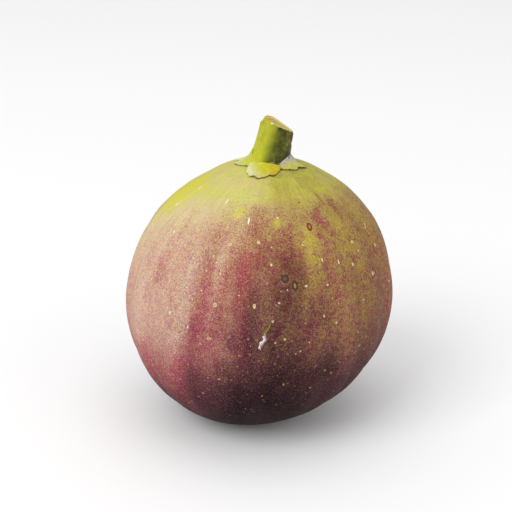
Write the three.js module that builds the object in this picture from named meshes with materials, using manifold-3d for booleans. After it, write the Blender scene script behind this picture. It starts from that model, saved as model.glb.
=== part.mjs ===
// A fresh fig, picked with its short stalk, standing on the small flat around its eye.
// Millimetres, +Z up, and the side that carries the widest bract faces -Y.
// The origin is the middle of the bottom of the whole fig's box, on the surface that it rests on.

import * as THREE from 'three';
import { mergeVertices } from 'three/addons/utils/BufferGeometryUtils.js';
import Module from 'manifold-3d';

const wasm = await Module();
wasm.setup();

// ---------------------------------------------------------------- driving dimensions

const BODY_WIDTH = 47.8;        // across the widest part of the fruit
const BODY_DEPTH_SCALE = 0.985; // front to back, as a share of the width
const CROWN_STRETCH = 1.04;     // height of the upper half, as a share of a true half ball
const SHOULDER_FULLNESS = 0.02; // how much the shoulders stand out from a true ball
const LEAN_STRAIGHT = 1.2;      // sideways travel of the fruit's axis at the crown: its straight part,
const LEAN_CURL = 0.85;         // the part that grows towards both ends,
const LEAN_BOW = -0.5;          // and the part that pulls both ends to the same side
const LOBE_DEPTH = 0.25;        // how far the soft lobes swell and sink

const FLAT_RADIUS = 6;          // outer edge of the small flat that the fig stands on
const EYE_RADIUS = 2.6;         // mouth of the hollow around the eye
const EYE_DEPTH = 1.7;

const STALK_TOP_RADIUS = 2.95;
const STALK_RADIUS = 3.25;      // where the shaft meets the flare of the foot
const STALK_FOOT_RADIUS = 4.3;
const STALK_FLARE_HEIGHT = 3.4;
const STALK_LENGTH = 7.0;       // along the middle, from the crown to the cut
const STALK_LEAN = 0.2;         // sideways travel of the stalk's axis per millimetre of height
const CUT_SLOPE_X = -0.46;      // the cut end falls towards +X
const CUT_SLOPE_Y = -0.03;      // and very slightly towards the back

const BRACT_REACH = 6.6;        // from the stalk's axis to a bract's tip
const BRACT_ROOT = 4.55;        // from the stalk's axis to a bract's root
const BRACT_RISE = 1.0;         // height of a bract's root over the fruit's skin
const BRACT_THICKNESS = 0.45;
const BRACT_NARROWING = 0.75;   // how strongly a bract narrows towards its tip
const BRACT_ROUNDING = 0.35;    // how far its corners draw back from the tip

const GAP = 0.3;                // clearance between neighbouring pieces
const BRACT_LIFT = 0.4;         // clearance between a bract's tip and the sloping skin under it

// ---------------------------------------------------------------- shared shape of the fruit

const BODY_RADIUS = BODY_WIDTH / 2;
const CENTRE_HEIGHT = Math.sqrt(BODY_RADIUS ** 2 - FLAT_RADIUS ** 2);
const CROWN_HEIGHT = CENTRE_HEIGHT + BODY_RADIUS * CROWN_STRETCH;
const CROWN_SHIFT = axisShift(CROWN_HEIGHT);
const EYE_SHIFT = axisShift(0);

// How far the fruit's axis has moved towards +X at a height.
function axisShift(height) {
  const level = (height - CENTRE_HEIGHT) / BODY_RADIUS;
  return LEAN_STRAIGHT * level + LEAN_CURL * level ** 3 + LEAN_BOW * level ** 2;
}

// The soft lobes: each has its count around the fruit, its share of the depth and its turn.
const LOBES = [
  { count: 2, share: 0.4, turn: 0.6 },
  { count: 3, share: 0.5, turn: 2.1 },
  { count: 7, share: 0.35, turn: 0.9 },
];

// Height of the skin over the crown at a distance from the crown's middle.
function crownHeight(distance) {
  return CENTRE_HEIGHT + CROWN_STRETCH * Math.sqrt(BODY_RADIUS ** 2 - distance ** 2);
}

function lobeSwell(angle, height) {
  const window = Math.sin(Math.PI * height / CROWN_HEIGHT) ** 2;
  let swell = 0;
  for (const lobe of LOBES) {
    swell += lobe.share * Math.cos(lobe.count * angle + lobe.turn);
  }
  return LOBE_DEPTH * window * swell;
}

// Moves every vertex of a geometry to where the given function puts it.
function reshape(geometry, move) {
  const position = geometry.attributes.position;
  const point = new THREE.Vector3();
  for (let i = 0; i < position.count; i += 1) {
    point.fromBufferAttribute(position, i);
    move(point);
    position.setXYZ(i, point.x, point.y, point.z);
  }
  geometry.computeVertexNormals();
  return geometry;
}

// A profile of (distance from the axis, height) points, turned round the Z axis.
function turned(profile, segments) {
  const geometry = new THREE.LatheGeometry(profile, segments);
  geometry.rotateX(Math.PI / 2);
  return geometry;
}

function piece(name, geometry, colour, roughness) {
  const material = new THREE.MeshStandardMaterial({ color: colour, roughness, metalness: 0 });
  const mesh = new THREE.Mesh(geometry, material);
  mesh.name = name;
  return mesh;
}

// ---------------------------------------------------------------- fruit body

function fruitBody() {
  const eyeSteps = 5;
  const sideSteps = 34;
  const segments = 64;
  const profile = [];

  // The steep-sided hollow of the eye, from its roof on the axis to its mouth.
  for (let i = 0; i <= eyeSteps; i += 1) {
    const share = Math.sin(Math.PI / 2 * i / eyeSteps);
    const height = EYE_DEPTH * Math.sqrt(1 - share ** 4);
    profile.push(new THREE.Vector2(EYE_RADIUS * share, height));
  }

  // The flat, then the round side and crown as one arc that ends on the axis.
  const flatAngle = Math.asin(FLAT_RADIUS / BODY_RADIUS);
  for (let i = 0; i <= sideSteps; i += 1) {
    const angle = flatAngle + (Math.PI - flatAngle) * i / sideSteps;
    const stretch = angle > Math.PI / 2 ? CROWN_STRETCH : 1;
    const fullness = angle > Math.PI / 2 ? 1 + SHOULDER_FULLNESS * Math.sin(2 * angle) ** 2 : 1;
    const distance = i === sideSteps ? 0 : BODY_RADIUS * Math.sin(angle) * fullness;
    const height = i === 0 ? 0 : CENTRE_HEIGHT - stretch * BODY_RADIUS * Math.cos(angle);
    profile.push(new THREE.Vector2(distance, height));
  }

  const geometry = reshape(turned(profile, segments), (point) => {
    const angle = Math.atan2(point.y, point.x);
    const distance = Math.hypot(point.x, point.y);
    const swollen = distance === 0 ? 0 : distance + lobeSwell(angle, point.z) * distance / BODY_RADIUS;
    point.x = swollen * Math.cos(angle) + axisShift(point.z);
    point.y = swollen * Math.sin(angle) * BODY_DEPTH_SCALE;
  });
  return piece('fruit_body', geometry, '#a5705f', 0.48);
}

// ---------------------------------------------------------------- stalk

function stalk() {
  const segments = 28;
  const footHeight = crownHeight(STALK_FOOT_RADIUS);
  const flareSteps = 5;
  const shaftSteps = 3;
  const profile = [
    new THREE.Vector2(0, crownHeight(0) + GAP),
    new THREE.Vector2(STALK_FOOT_RADIUS, footHeight + GAP),
  ];

  // The foot draws in along a quarter wave to the shaft, which is nearly straight.
  for (let i = 1; i <= flareSteps; i += 1) {
    const share = i / flareSteps;
    const flare = (STALK_FOOT_RADIUS - STALK_RADIUS) * (1 - Math.sin(Math.PI / 2 * share));
    profile.push(new THREE.Vector2(STALK_RADIUS + flare, footHeight + GAP + STALK_FLARE_HEIGHT * share));
  }
  const shaftBottom = footHeight + GAP + STALK_FLARE_HEIGHT;
  const shaftTop = CROWN_HEIGHT + STALK_LENGTH;
  for (let i = 1; i <= shaftSteps; i += 1) {
    const share = i / shaftSteps;
    const radius = THREE.MathUtils.lerp(STALK_RADIUS, STALK_TOP_RADIUS, share);
    profile.push(new THREE.Vector2(radius, THREE.MathUtils.lerp(shaftBottom, shaftTop, share)));
  }
  profile.push(new THREE.Vector2(0, shaftTop));

  // The slanted cut is shared out over the shaft, so that its end stays one flat face.
  const geometry = reshape(turned(profile, segments), (point) => {
    const share = Math.max(0, (point.z - shaftBottom) / (shaftTop - shaftBottom));
    const rise = share * (CUT_SLOPE_X * point.x + CUT_SLOPE_Y * point.y);
    point.x += CROWN_SHIFT + STALK_LEAN * (point.z - CROWN_HEIGHT);
    point.z += rise;
  });
  return piece('stalk', geometry, '#9aa22e', 0.6);
}

// ---------------------------------------------------------------- basal bracts

// A bract is a thin lobe with its root beside the stalk's foot and its tip out on the shoulder.
// azimuth is its middle, in degrees from the front (-Y) towards +X, and spread is half its width.
function bract(name, azimuth, spread, reach, colour) {
  const across = 10;
  const outward = 5;
  const middle = THREE.MathUtils.degToRad(azimuth);
  const halfSpread = THREE.MathUtils.degToRad(spread);
  const geometry = new THREE.BoxGeometry(1, 1, 1, across, outward, 1);
  geometry.deleteAttribute('uv');
  geometry.deleteAttribute('normal');
  const merged = mergeVertices(geometry, 1e-6);

  reshape(merged, (point) => {
    const side = -2 * point.x;
    const share = point.y + 0.5;
    const top = point.z > 0;
    const narrowing = Math.sqrt(1 - BRACT_NARROWING * share ** 2);
    const angle = middle + halfSpread * side * narrowing;
    const tipRound = 1 - BRACT_ROUNDING * share * (side * narrowing) ** 2;
    const distance = BRACT_ROOT + (reach - BRACT_ROOT) * share * tipRound;
    const lift = BRACT_LIFT + BRACT_RISE * (1 - share) ** 2;
    const base = crownHeight(distance) + lift;
    point.x = distance * Math.sin(angle) + CROWN_SHIFT;
    point.y = -distance * Math.cos(angle);
    point.z = top ? base + BRACT_THICKNESS : base;
  });
  return piece(name, merged, colour, 0.75);
}

// ---------------------------------------------------------------- eye scales

function asSolid(geometry) {
  const bare = geometry.clone();
  bare.deleteAttribute('uv');
  bare.deleteAttribute('normal');
  const merged = mergeVertices(bare, 1e-6);
  const mesh = new wasm.Mesh({
    numProp: 3,
    vertProperties: new Float32Array(merged.attributes.position.array),
    triVerts: new Uint32Array(merged.index.array),
  });
  return new wasm.Manifold(mesh);
}

function asGeometry(solid) {
  const mesh = solid.getMesh();
  const geometry = new THREE.BufferGeometry();
  geometry.setAttribute('position', new THREE.BufferAttribute(new Float32Array(mesh.vertProperties), 3));
  geometry.setIndex(new THREE.BufferAttribute(new Uint32Array(mesh.triVerts), 1));
  geometry.computeVertexNormals();
  return geometry;
}

// A ring of small overlapping scales on a pad closes the eye. All of it stays above the flat.
function eyeScales() {
  const scaleCount = 7;
  const scaleLength = 1.05;
  const scaleWidth = 0.72;
  const scaleThickness = 0.2;
  const scaleDistance = 1.0;
  const scaleHeight = 0.62;
  const scaleTilt = 0.22;
  const padRadius = 1.5;
  const padBottom = 0.6;
  const padTop = EYE_DEPTH - GAP - 0.15;

  const pad = new THREE.CylinderGeometry(padRadius, padRadius * 0.9, padTop - padBottom, 20);
  pad.rotateX(Math.PI / 2);
  pad.translate(0, 0, (padTop + padBottom) / 2);
  let solid = asSolid(pad);
  for (let i = 0; i < scaleCount; i += 1) {
    const scale = new THREE.SphereGeometry(1, 10, 7);
    scale.scale(scaleLength, scaleWidth, scaleThickness);
    scale.rotateY(scaleTilt);
    scale.translate(scaleDistance, 0, scaleHeight);
    scale.rotateZ(2 * Math.PI * i / scaleCount);
    solid = solid.add(asSolid(scale));
  }
  const geometry = asGeometry(solid);
  geometry.scale(1, BODY_DEPTH_SCALE, 1);
  geometry.translate(EYE_SHIFT, 0, 0);
  return piece('eye_scales', geometry, '#7a4a34', 0.7);
}

// ---------------------------------------------------------------- the fig

const fig = new THREE.Group();
fig.add(fruitBody());
fig.add(stalk());
fig.add(bract('bract_front', -12, 44, BRACT_REACH, '#d9d27e'));
fig.add(bract('bract_right', 90, 38, BRACT_REACH - 0.1, '#cfc9a8'));
fig.add(bract('bract_left', -122, 40, BRACT_REACH - 0.6, '#d6d2b0'));
fig.add(eyeScales());

// The box's bottom middle becomes the origin.
const box = new THREE.Box3().setFromObject(fig);
const middle = box.getCenter(new THREE.Vector3());
fig.position.set(-middle.x, -middle.y, -box.min.z);

export default fig;
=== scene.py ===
# %% [markdown]
# # A fresh fig, ribbed and two-toned, on its own small flat
#
# A fig is one fleshy fruit. Its thin skin is stretched over soft ribs that run from the stalk to the
# eye, the scaly little hollow in its underside. Around the stalk sit three dry bracts. The packed
# model gives the size and place of each of these, and this lesson gives them their real surface:
# ribs and folds, the cut stalk with its ring of fibres, papery bracts, corky spots and scars, and a
# skin that ripens from yellow-green at the stalk to a dark aubergine at the eye. Towards the eye
# that dark is partly painted shade under the fruit.

# %% Load the frame
import math
import random
from types import SimpleNamespace

import bmesh
import bpy
import numpy as np
from mathutils import Matrix, Vector, noise
from mathutils.bvhtree import BVHTree


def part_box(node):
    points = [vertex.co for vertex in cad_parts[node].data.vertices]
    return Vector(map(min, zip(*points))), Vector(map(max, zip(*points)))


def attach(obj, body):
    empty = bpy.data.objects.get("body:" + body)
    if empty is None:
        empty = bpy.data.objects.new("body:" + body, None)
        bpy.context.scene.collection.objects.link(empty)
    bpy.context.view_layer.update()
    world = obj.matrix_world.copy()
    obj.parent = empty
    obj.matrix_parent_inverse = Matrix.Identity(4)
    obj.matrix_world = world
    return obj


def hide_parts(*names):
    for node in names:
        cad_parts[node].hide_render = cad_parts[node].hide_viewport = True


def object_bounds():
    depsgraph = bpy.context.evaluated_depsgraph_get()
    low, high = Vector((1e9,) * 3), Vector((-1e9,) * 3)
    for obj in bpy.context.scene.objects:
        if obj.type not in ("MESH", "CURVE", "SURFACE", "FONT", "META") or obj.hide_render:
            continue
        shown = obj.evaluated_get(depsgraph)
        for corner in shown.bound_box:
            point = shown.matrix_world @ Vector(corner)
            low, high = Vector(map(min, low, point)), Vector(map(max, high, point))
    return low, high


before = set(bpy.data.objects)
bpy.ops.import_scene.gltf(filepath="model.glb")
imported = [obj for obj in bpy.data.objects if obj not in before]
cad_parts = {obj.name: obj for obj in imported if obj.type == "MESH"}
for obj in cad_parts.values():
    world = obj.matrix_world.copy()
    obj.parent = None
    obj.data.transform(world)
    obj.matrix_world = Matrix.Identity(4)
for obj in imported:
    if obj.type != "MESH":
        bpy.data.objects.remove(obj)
cad_low, cad_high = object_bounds()
fig_centre = (cad_low + cad_high) / 2
fig_size = cad_high - cad_low
MM = 0.001
print("the fig's box is", [round(side / MM, 1) for side in fig_size], "mm")

# %% [markdown]
# ## The camera
#
# A fig this small is seen best from a little above, about 22 degrees, so that the collar of bracts
# and the slanted cut both show. A long lens keeps the round body from swelling towards the viewer.
# The distance and the aim follow from the size of the box.

# %% Place the camera
VIEW_RISE = math.radians(22)
LENS = 85
AIM_LEFT = 0.0115 * fig_size.x
AIM_HEIGHT = 0.54 * fig_size.z
VIEW_DISTANCE = 3.86 * fig_size.z
view_back = Vector((0, -math.cos(VIEW_RISE), math.sin(VIEW_RISE)))
view_aim = Vector((fig_centre.x - AIM_LEFT, fig_centre.y, cad_low.z + AIM_HEIGHT))
view_turn = (-view_back).to_track_quat("-Z", "Y").to_euler()
bpy.ops.object.camera_add(location=view_aim + view_back * VIEW_DISTANCE, rotation=view_turn)
camera = bpy.context.object
camera.name = "camera"
camera.data.lens = LENS
camera.data.clip_start = 0.01
camera.data.dof.use_dof = False
bpy.context.scene.camera = camera
print("camera at", [round(part, 3) for part in camera.location])

# %% [markdown]
# ## A few hand tools
#
# An operator works on everything that is selected, so each step starts from a clean selection.
# `take` picks up one piece or several, `stretch` scales a new primitive and keeps that as its true
# shape, and `finish_with` adds a modifier and applies it.


# %% Selection and modifier helpers
def take(*pieces):
    bpy.ops.object.select_all(action="DESELECT")
    for piece in pieces:
        piece.select_set(True)
    bpy.context.view_layer.objects.active = pieces[0]


def stretch(piece, factors):
    take(piece)
    bpy.ops.transform.resize(value=factors)
    bpy.ops.object.transform_apply(location=True, rotation=True, scale=True)

def finish_with(piece, kind, **settings):
    take(piece)
    modifier = piece.modifiers.new(kind.lower(), kind)
    for name, value in settings.items():
        setattr(modifier, name, value)
    bpy.ops.object.modifier_apply(modifier=modifier.name)


def subdivided(piece, levels):
    finish_with(piece, "SUBSURF", levels=levels, render_levels=levels)




def smooth(piece):
    take(piece)
    bpy.ops.object.shade_smooth()


def points_of(piece):
    points = np.empty(len(piece.data.vertices) * 3)
    piece.data.vertices.foreach_get("co", points)
    return points.reshape(-1, 3)


def set_points(piece, points):
    piece.data.vertices.foreach_set("co", points.ravel())
    piece.data.update()



# %% [markdown]
# ## Where things are on a fig
#
# Ribs, streaks and spots all follow the fruit from the stalk to the eye, so places on it are told
# as on a globe: the azimuth is counted from the front towards the right, and the polar angle from
# the stalk down. The fruit leans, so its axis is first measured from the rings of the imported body.

# %% Measure the axis of the fruit
body_low, body_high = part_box("fruit_body")
body_points = points_of(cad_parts["fruit_body"])
ring_heights = np.unique(np.round(body_points[:, 2], 6))
ring_middles = []
for height in ring_heights:
    ring = body_points[np.abs(body_points[:, 2] - height) < 1e-6]
    ring_middles.append(ring.mean(axis=0))
ring_middles = np.array(ring_middles)
CORE_HEIGHT = (body_low.z + body_high.z) / 2 - 0.4 * MM


def axis_x(heights):
    return np.interp(heights, ring_middles[:, 2], ring_middles[:, 0])


def globe_angles(points):
    """Azimuth and polar angle of each point, in degrees."""
    across = points[:, 0] - axis_x(points[:, 2])
    azimuth = np.degrees(np.arctan2(across, -points[:, 1]))
    reach = np.hypot(across, points[:, 1])
    polar = np.degrees(np.arctan2(reach, points[:, 2] - CORE_HEIGHT))
    return azimuth, polar


def soft_step(values, start, end):
    share = np.clip((values - start) / (end - start), 0, 1)
    return share * share * (3 - 2 * share)


def turn_between(azimuth, centre):
    return (azimuth - centre + 180) % 360 - 180


print("the axis is at x", np.round(axis_x([0, body_high.z]) / MM, 2), "mm at the foot and the top")

# %% [markdown]
# ## The body of the fruit
#
# The body starts as a ball the size of its box. It could be shaped only by sculpting, but the packed
# body already holds the true outline, so a Shrinkwrap modifier presses the ball onto it, a little
# smoothing takes out the flat facets, and two rounds of subdivision give enough points for the ribs.

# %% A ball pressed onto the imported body
body_size = body_high - body_low
bpy.ops.mesh.primitive_uv_sphere_add(segments=96, ring_count=48, radius=0.5,
                                     location=(body_low + body_high) / 2)
skin = bpy.context.object
skin.name = "fig_skin"
stretch(skin, body_size)

EYE_PLACE = (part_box("eye_scales")[0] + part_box("eye_scales")[1]) / 2
FLAT_REACH = 6 * MM
EYE_REACH = 2.6 * MM
EYE_DEPTH = 1.7 * MM
upper_group = skin.vertex_groups.new(name="above_flat")
for vertex in skin.data.vertices:
    reach = math.hypot(vertex.co.x - EYE_PLACE.x, vertex.co.y - EYE_PLACE.y)
    if vertex.co.z > body_size.z / 2 or reach > FLAT_REACH:
        upper_group.add([vertex.index], 1, "REPLACE")
finish_with(skin, "SHRINKWRAP", target=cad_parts["fruit_body"],
            wrap_method="NEAREST_SURFACEPOINT", vertex_group="above_flat")
finish_with(skin, "SMOOTH", factor=0.5, iterations=4)
subdivided(skin, 2)
print("the skin has", len(skin.data.polygons), "faces")

# %% [markdown]
# ## Ribs and folds
#
# A ripe fig's skin sinks in long folds between soft ribs. Some folds are deep with a steep flank,
# and most are shallow. Each fold is told by its azimuth, its width, its depth, and where it starts
# and ends between stalk and eye. Gentle waves in between keep the rest of the skin from looking
# turned on a lathe. All of it is a small move of each point towards or away from the core.

# %% Sink the folds and lift the ribs
FOLDS = [
    # azimuth, drift, half width, depth in mm, polar start, polar end
    (-32, -0.12, 3.6, 0.55, 38, 142),
    (-8, 0.03, 3.2, 0.40, 34, 150),
    (5, 0.02, 3.0, 0.16, 48, 140),
    (18, 0.02, 4.0, 0.24, 50, 140),
    (33, 0.03, 3.6, 0.24, 40, 146),
    (48, 0.04, 4.0, 0.24, 44, 146),
    (66, 0.03, 4.5, 0.30, 38, 150),
    (86, 0.00, 4.5, 0.34, 40, 152),
    (102, -0.03, 4.0, 0.18, 48, 146),
    (124, 0.04, 5.0, 0.44, 42, 156),
    (143, 0.02, 4.0, 0.14, 56, 140),
    (168, -0.05, 4.2, 0.36, 44, 154),
    (-167, 0.03, 4.0, 0.14, 40, 136),
    (-141, -0.04, 5.2, 0.40, 38, 156),
    (-117, 0.02, 4.0, 0.16, 52, 142),
    (-96, 0.02, 5.0, 0.30, 42, 150),
    (-74, -0.03, 4.0, 0.20, 44, 150),
    (-52, -0.06, 3.5, 0.20, 36, 150),
]


def fold_profile(azimuth, polar, fold):
    place, drift, half_width, _, start, end = fold
    middle = place + drift * (polar - 90)
    across = turn_between(azimuth, middle) / half_width
    window = soft_step(polar, start, start + 24) * (1 - soft_step(polar, end - 26, end))
    sink = np.exp(-across ** 2)
    left_lift = 0.45 * np.exp(-((across + 2.2) / 1.5) ** 2)
    right_lift = 0.2 * np.exp(-((across - 2.4) / 1.7) ** 2)
    return window * (sink - left_lift - right_lift)


points = points_of(skin)
azimuth, polar = globe_angles(points)
relief = np.zeros(len(points))
for fold in FOLDS:
    relief -= fold[3] * MM * fold_profile(azimuth, polar, fold)
WAVE_LENGTH = 9 * MM
BROAD_WAVE = 0.12 * MM
FINE_WAVE = 0.035 * MM
SHOULDER_LIFT = 0.42 * MM
for index, point in enumerate(points):
    sample = Vector(point) / WAVE_LENGTH
    relief[index] += BROAD_WAVE * noise.noise(sample)
    relief[index] += FINE_WAVE * noise.noise(sample * 3.5)
calm = soft_step(polar, 12, 30) * (1 - soft_step(polar, 150, 163))
shoulder_lift = SHOULDER_LIFT * soft_step(polar, 5, 13) * (1 - soft_step(polar, 17, 31))
core = np.zeros((len(points), 3))
core[:, 0] = axis_x(points[:, 2])
core[:, 2] = CORE_HEIGHT
outward = points - core
outward /= np.linalg.norm(outward, axis=1)[:, None]
points += outward * (relief * calm + shoulder_lift)[:, None]

# The underside is pressed flat where it rests, with the steep little hollow of the eye in it.
reach = np.hypot(points[:, 0] - EYE_PLACE.x, points[:, 1] - EYE_PLACE.y)
low_side = points[:, 2] < 4 * MM
resting = low_side & (reach < FLAT_REACH)
points[resting, 2] = 0
hollow = low_side & (reach < EYE_REACH)
points[hollow, 2] = EYE_DEPTH * np.sqrt(1 - (reach[hollow] / EYE_REACH) ** 4)
points[:, 2] = np.maximum(points[:, 2], 0)
set_points(skin, points)
smooth(skin)
print("relief from", round(relief.min() / MM, 2), "to", round(relief.max() / MM, 2), "mm")

# %% [markdown]
# ## Painting the ripeness
#
# A fig's colour is two things: a ground that goes from yellow-green at the stalk to cream and tan,
# and a red to purple pigment that spreads over it from the sunny side and from below. Where the
# pigment is thin it breaks up into flecks. So the skin carries, for each point, how much pigment
# covers it, how deep that pigment is, and how olive, crimson or pale the place is. Towards the eye
# the depth is partly the skin's own dark colour and partly painted shade under the fruit, and the
# olive amount also masks painted shade on the right side. Broad strokes set these amounts, and the
# material breaks them into flecks and streaks.


# %% Amounts of pigment over the skin
def note_on(piece, name, columns):
    """Stores three numbers for each point of the piece, for its material to read."""
    layer = piece.data.attributes.new(name, "FLOAT_VECTOR", "POINT")
    layer.data.foreach_set("vector", np.column_stack(columns).astype(np.float32).ravel())

def by_polar(*stops):
    angles, amounts = zip(*stops)
    return np.interp(polar, angles, amounts)


def around(centre, half_width):
    return np.exp(-(turn_between(azimuth, centre) / half_width) ** 2)


def stroke(place, half_width, level, half_length, drift=0.0):
    across = turn_between(azimuth, place + drift * (polar - level)) / half_width
    along = (polar - level) / half_length
    return np.exp(-(across ** 2) - along ** 4)


azimuth, polar = globe_angles(points)
# Towards the eye the depth is partly the skin's own dark colour and partly painted shade.
SIDES = [
    # azimuth and half width of a side, then its cover and its depth at some polar angles
    (-62, 40,
     [(34, 0), (50, 0.34), (60, 0.42), (84, 0.5), (97, 0.62), (108, 0.95), (120, 1.2)],
     [(50, 0), (84, 0.05), (97, 0.1), (108, 0.2), (120, 0.38), (133, 0.58), (150, 0.9)]),
    (-8, 30,
     [(24, 0), (36, 0.44), (48, 0.62), (60, 0.68), (84, 0.8), (100, 0.95), (120, 1.1)],
     [(36, 0.2), (60, 0.3), (84, 0.44), (96, 0.54), (108, 0.7), (122, 0.84), (136, 0.97)]),
    (58, 52,
     [(24, 0), (36, 0.4), (48, 0.52), (60, 0.64), (84, 0.8), (98, 0.92), (115, 1.1)],
     [(36, 0.38), (60, 0.4), (84, 0.46), (96, 0.54), (108, 0.66), (122, 0.76), (140, 0.94)]),
    (178, 60,
     [(26, 0), (40, 0.38), (60, 0.6), (85, 0.8), (100, 0.95), (115, 1.1)],
     [(36, 0.2), (70, 0.38), (96, 0.55), (118, 0.78), (140, 0.96)]),
]
coverage = np.zeros(len(points))
depth = np.zeros(len(points))
side_sum = np.zeros(len(points))
for centre, half_width, cover_stops, depth_and_shade_stops in SIDES:
    share = around(centre, half_width)
    coverage += share * by_polar(*cover_stops)
    depth += share * by_polar(*depth_and_shade_stops)
    side_sum += share
coverage /= side_sum
depth /= side_sum
# The olive amount marks the right, sunny side, and also masks painted shade there and by the stalk.
olive = soft_step(azimuth, -14, 12) * (1 - soft_step(azimuth, 62, 150)) * by_polar(
    (8, 0.9), (24, 0.9), (84, 0.8), (100, 0.45), (116, 0.25), (150, 0.2))
wash = around(-54, 42) * by_polar((20, 0.1), (42, 0.7), (56, 0.9), (100, 0.9), (125, 0.7), (145, 0.3))
crimson = np.zeros(len(points))
greening = np.zeros(len(points))

# %% [markdown]
# Over these broad amounts come the strokes a painter would add last: the two crimson folds, the
# pink crest beside the first of them, the plum blush down the middle, the brick-red and olive
# streaks of the sunny side, the yellow-green patches where leaves kept the sun off, and a halo
# around each scar.

# %% Crimson folds and blushes
BLUSHES = [
    # azimuth, half width, polar, half length, drift, cover, depth, crimson
    (-26.2, 4.4, 76, 16, -0.08, 0.3, 0.04, 0.5), (-0.5, 3, 53, 6, 0, 0.24, 0.07, 0.4),
    (11, 4.5, 44, 4, 0, 0.18, 0.06, 0.15), (15, 8, 62, 7, 0, 0.04, 0.14, 0),
    (4.5, 2.2, 90, 4, 0, 0.1, 0.12, 0), (-27.5, 4.4, 52, 13, -0.05, 0.18, 0.08, 0.25),
    (-30, 3.8, 97, 18, -0.12, 0.2, 0.06, 0.9), (-25.5, 4, 104, 16, -0.05, 0.1, 0, 0.35),
    (-14.5, 3, 99, 4, 0, 0.1, 0.14, 0), (-17.5, 4, 79, 9, 0, 0.12, 0.06, 0.3),
    # The stroke at azimuth 5.6 on the next line is painted shadow along the right of the crack.
    (5.6, 1.6, 83, 4, -0.2, 0.14, 0.08, 0.4), (-12, 3, 88, 4, 0, 0.22, 0.12, 0.3),
    (6, 2.6, 65, 5, 0, 0.14, 0.1, 0.2), (-20, 5, 80, 18, -0.05, 0.04, -0.02, 0.4),
    (-30.5, 5, 117, 14, -0.12, 0.2, 0.14, 0.4), (-9, 3.6, 64, 14, 0.05, 0.34, 0.02, 1),
    (-7.2, 3, 89, 12, 0.05, 0.2, 0.03, 0.9), (-6, 6, 38, 8, 0, 0.26, 0.08, 0.5),
    (-3.5, 4.5, 50, 9, 0, 0.12, 0.12, 0.4), (-4, 4.2, 78, 20, 0, 0.2, 0.24, 0.2),
    (-15.5, 3, 60, 9, 0, 0.16, 0.05, 0.3), (-18, 6, 97, 12, 0, 0, -0.06, 0.45),
    (-20, 6, 66, 6, 0, 0.06, 0, 0.3), (-51, 3, 52, 14, -0.05, 0.14, 0.04, 0.35),
    (-51, 4, 67, 5, 0, 0.16, 0.08, 0.4), (-56, 18, 114, 16, 0, 0.12, 0.02, 0.85),
    (-52, 20, 132, 10, 0, 0.2, 0.14, 0.6), (-35, 7, 132, 8, 0, 0.1, -0.14, 0.8),
    # The stroke at azimuth 6.6 on the next line is painted shadow along the right of the crack too.
    (6.6, 1.2, 84.5, 3.5, -0.3, 0.2, 0.06, 0.6), (-37.5, 4.5, 116, 18, -0.12, 0.14, -0.08, 0.9),
    (11, 8.5, 61, 15, 0, 0.42, 0.24, 0.2), (24, 5, 76, 8, 0, 0.16, 0.08, 0.1),
    (10, 11, 88, 18, 0.02, 0.16, 0.2, 0), (4, 22, 122, 22, 0, 0, 0.2, 0),
    (30, 40, 112, 16, 0, 0, 0.08, 0), (74, 8, 84, 22, 0, 0, -0.08, 0.45),
    (30, 5, 101, 8, 0, 0, 0.14, 0), (19.5, 2.4, 86, 9, 0, 0.1, 0.02, 0.3),
    (34.5, 3, 39, 2.6, 0, 0.55, -0.04, 1), (37, 2.2, 35.3, 1.4, 0, 0.5, -0.04, 1),
    (36.5, 2.6, 42.5, 2, 0, 0.42, -0.04, 0.8), (46, 1.5, 31, 5, 0.1, 0.3, 0.06, 0.5),
    (52, 1.8, 38, 6, 0.1, 0.26, 0.06, 0.5), (59, 1.6, 47, 6, 0.1, 0.1, 0.04, 0.3),
    (31, 1.4, 46, 2, 0, 0.3, 0, 0.6), (40, 1.8, 47, 1.6, 0, 0.26, 0, 0.5),
    (33, 2.2, 56, 14, 0.02, 0.16, 0, 0.35), (41, 4.5, 102, 8, 0, 0, -0.1, 0.35),
    (38, 4, 84, 14, 0.04, 0.02, -0.1, 0.1), (54, 3.5, 36, 5, 0.1, 0.16, 0.02, 0.25),
    (62, 3.5, 70, 24, 0.04, 0.12, 0.02, 0.35), (124, 5, 84, 38, 0.04, 0.25, 0.1, 0.5),
    (-141, 5, 86, 38, -0.04, 0.25, 0.1, 0.6), (168, 4.5, 80, 34, -0.05, 0.22, 0.08, 0.5),
    (-96, 4, 84, 30, 0.02, 0.18, 0.06, 0.4), (150, 9, 104, 16, 0, 0, -0.1, 0.5),
    (-160, 10, 96, 18, 0, 0.06, -0.12, 0.6),
]
for place, half_width, level, half_length, drift, more_cover, more_depth, more_crimson in BLUSHES:
    shape = stroke(place, half_width, level, half_length, drift)
    coverage += more_cover * shape
    depth += more_depth * shape
    crimson += more_crimson * shape

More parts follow.
